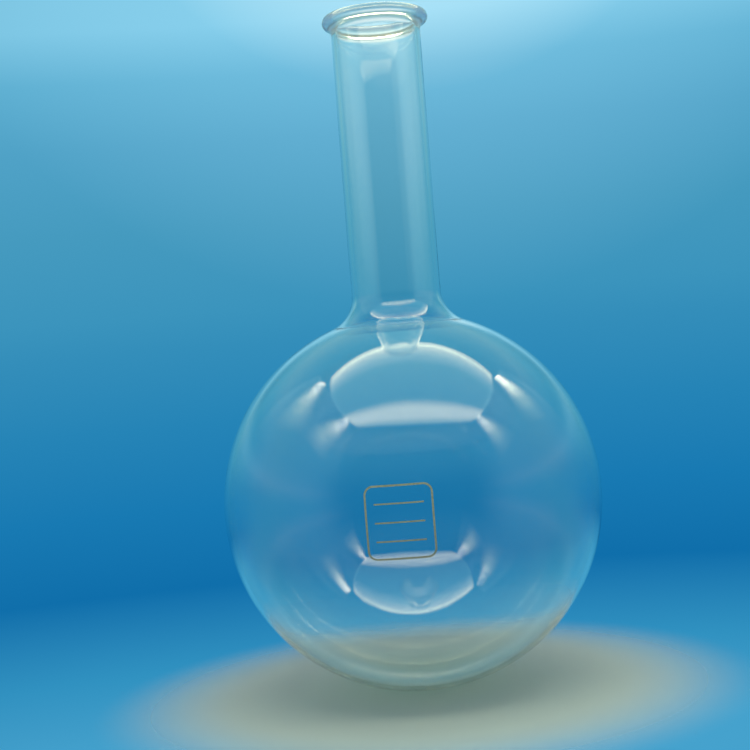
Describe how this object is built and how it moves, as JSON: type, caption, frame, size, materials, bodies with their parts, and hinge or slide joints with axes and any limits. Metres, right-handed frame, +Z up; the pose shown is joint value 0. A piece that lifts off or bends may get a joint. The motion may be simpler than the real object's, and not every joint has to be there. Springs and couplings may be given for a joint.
{
  "type": "round bottom flask",
  "caption": "Long-neck round bottom boiling flask in clear glass, with a flared shoulder, a straight open neck, a beaded rim and a plain enamel writing panel.",
  "frame": {"origin": "lowest point of the round body, on the flask's axis", "axes": "+Z up the neck, along the flask's axis; -Y towards the side that carries the enamel mark"},
  "size_m": [0.223, 0.2232, 0.4],
  "materials": {
    "glass": "clear fire-polished borosilicate glass",
    "enamel": "thin fired khaki enamel, satin"
  },
  "bodies": {
    "root": {"bulb": "glass", "shoulder": "glass", "neck_tube": "glass", "rim_bead": "glass", "enamel_mark": "enamel"}
  },
  "joints": []
}
